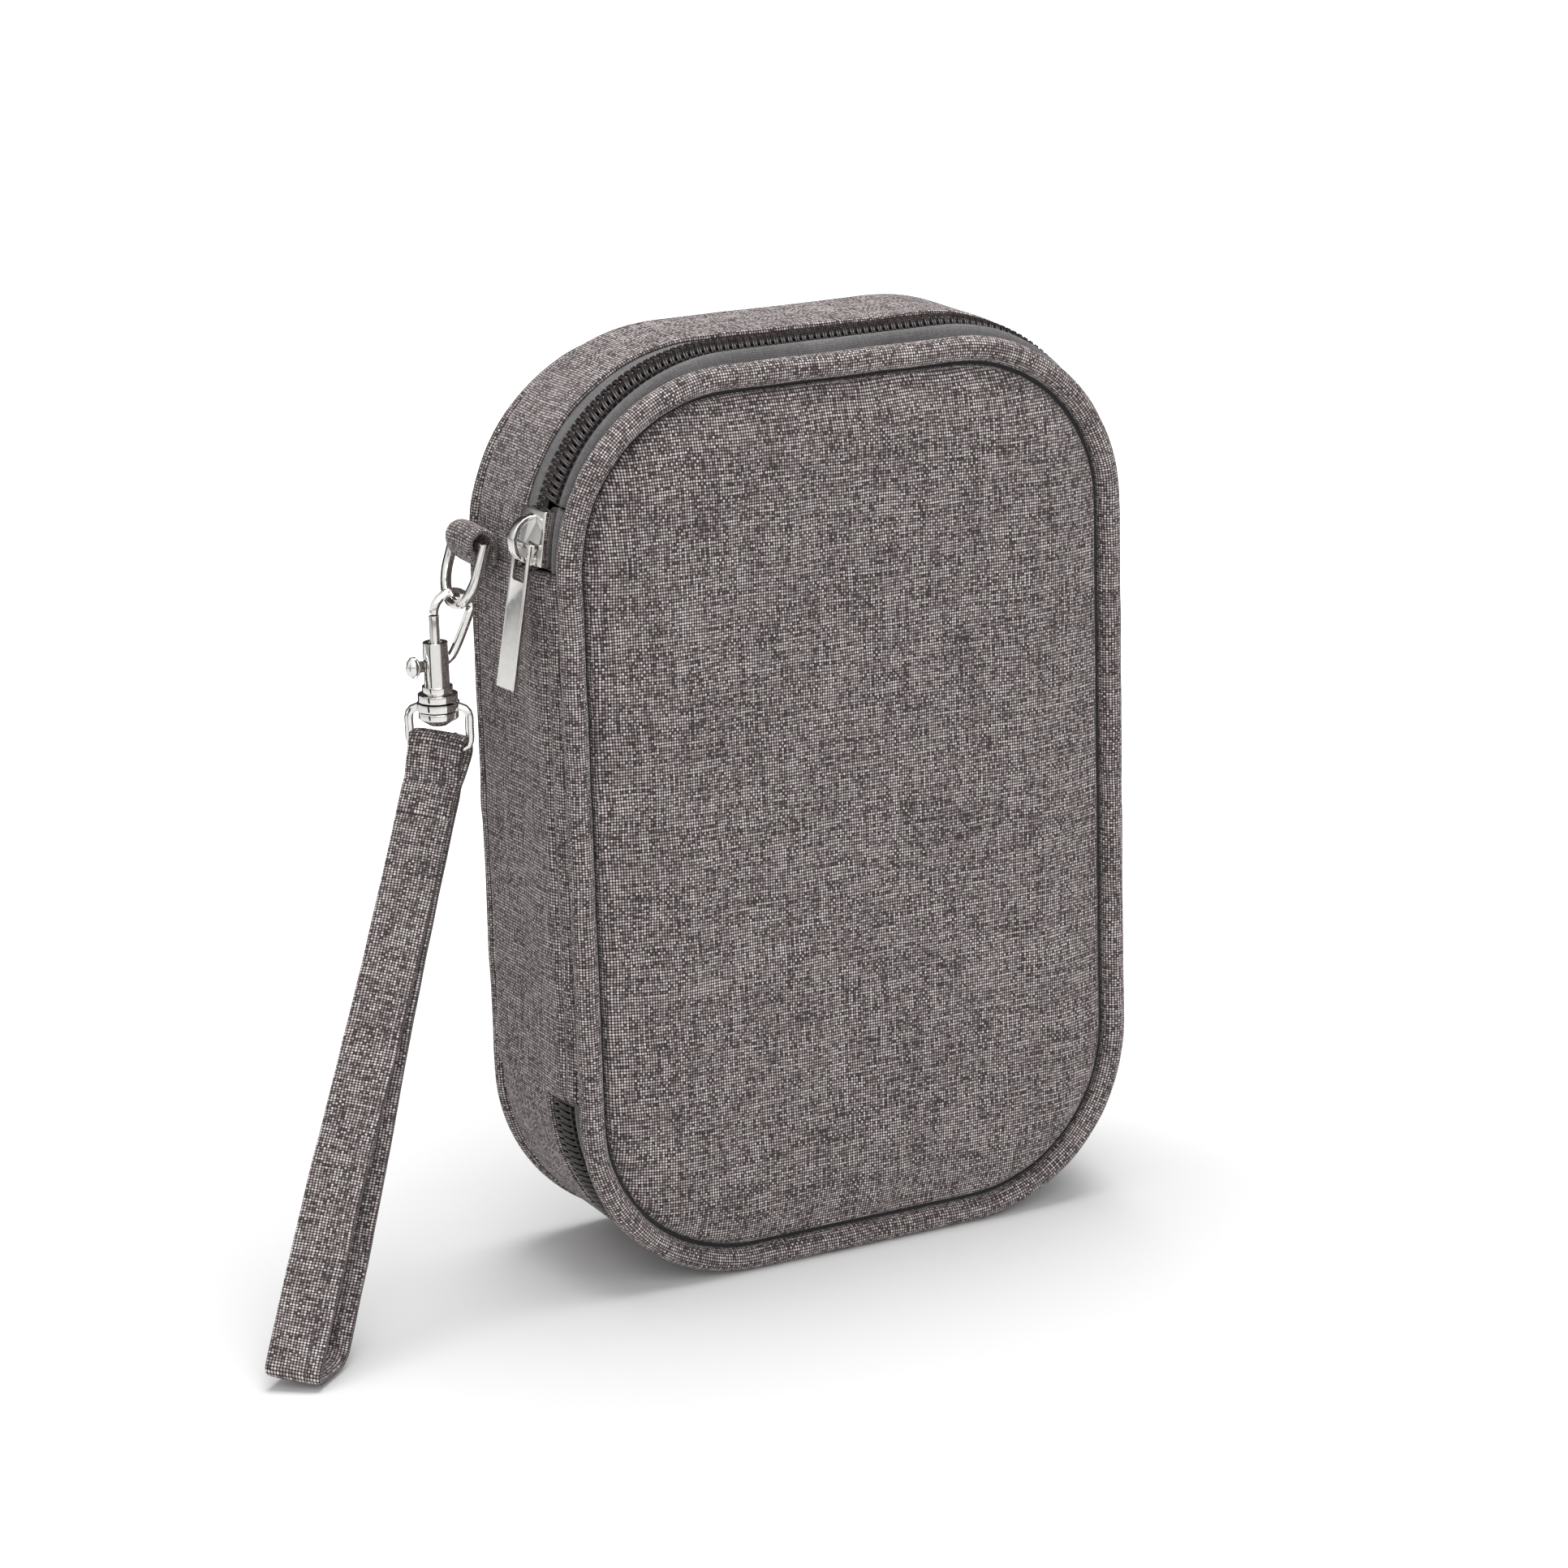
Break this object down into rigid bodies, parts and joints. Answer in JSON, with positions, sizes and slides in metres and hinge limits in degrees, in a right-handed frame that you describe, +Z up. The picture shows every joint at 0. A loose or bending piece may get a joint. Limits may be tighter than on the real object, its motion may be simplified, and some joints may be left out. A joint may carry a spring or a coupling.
{
  "type": "zipped glucose meter case",
  "caption": "Upright padded fabric case with a crowned front, piped edges and a wrap-round zip that opens like a book, with loops and a pocket inside and a wrist strap on a snap hook.",
  "frame": {"origin": "on the flat underside of the gusset, below the middle of the case", "axes": "+Z up from the floor, -Y towards the front panel, -X towards the spine and the wrist strap"},
  "size_m": [0.2133, 0.0607, 0.2033],
  "materials": {
    "cloth": "heather grey plain weave",
    "zip_tape": "smooth woven tape",
    "zip_coil": "nylon coil",
    "lining": "smooth woven lining",
    "foam": "closed-cell foam board",
    "elastic": "ribbed elastic",
    "mesh": "knitted mesh",
    "nickel": "polished nickel plate",
    "spring_steel": "bright wire"
  },
  "bodies": {
    "base": {"rear_panel": "cloth", "rear_piping": "cloth", "rear_board": "foam", "rear_lining": "lining", "elastic_loops": "elastic", "gusset": "cloth", "gusset_lining": "lining", "spine_panel": "cloth", "rear_zip_tape": "zip_tape", "rear_zip_coil": "zip_coil", "front_tape_end": "zip_tape", "front_coil_end": "zip_coil", "side_tab": "cloth"},
    "lid": {"front_panel": "cloth", "front_piping": "cloth", "lid_board": "foam", "lid_lining": "lining", "mesh_pocket": "mesh", "pocket_binding": "elastic", "front_zip_tape": "zip_tape", "front_zip_coil": "zip_coil"},
    "zip_slider": {"zip_slider": "nickel"},
    "zip_pull": {"zip_pull": "nickel"},
    "d_ring": {"d_ring": "nickel"},
    "snap_hook": {"snap_hook": "nickel", "gate_spring": "spring_steel", "swivel_stud": "nickel"},
    "gate_bolt": {"gate_bolt": "nickel"},
    "strap_eye": {"strap_eye": "nickel"},
    "wrist_strap": {"wrist_strap": "cloth"}
  },
  "joints": [
    {"name": "lid_hinge", "type": "hinge", "parent": "base", "child": "lid", "pos_m": [-0.0676, -0.0192, 0], "axis": [0, 0, -1], "range_deg": [0, 140]},
    {"name": "slider_run", "type": "hinge", "parent": "base", "child": "zip_slider", "pos_m": [-0.0246, -0.0115, 0.1603], "axis": [0, 1, 0], "range_deg": [0, 80]},
    {"name": "pull_swing", "type": "hinge", "parent": "zip_slider", "child": "zip_pull", "pos_m": [-0.07, -0.01211, 0.16547], "axis": [-0.2612, 0.9623, 0.0764], "range_deg": [0, 150]},
    {"name": "ring_swing", "type": "hinge", "parent": "base", "child": "d_ring", "pos_m": [-0.07196, 0.0122, 0.16174], "axis": [0, 1, 0], "range_deg": [0, 80]},
    {"name": "hook_swing", "type": "hinge", "parent": "d_ring", "child": "snap_hook", "pos_m": [-0.0761, 0.0122, 0.149], "axis": [0, 1, 0], "range_deg": [0, 60]},
    {"name": "gate_slide", "type": "slide", "parent": "snap_hook", "child": "gate_bolt", "axis": [0, 0, -1], "range_m": [0, 0.003], "stiffness_N_per_m": 300, "springref_m": -0.004, "deforming": ["gate_spring"]},
    {"name": "eye_swivel", "type": "hinge", "parent": "snap_hook", "child": "strap_eye", "pos_m": [-0.08083, 0.0122, 0.1274], "axis": [0, 0, -1], "range_deg": [-40, 110]},
    {"name": "strap_swing", "type": "hinge", "parent": "strap_eye", "child": "wrist_strap", "pos_m": [-0.08083, 0.0122, 0.11823], "axis": [-0.8434, 0.5373, 0], "range_deg": [0, 95]}
  ]
}
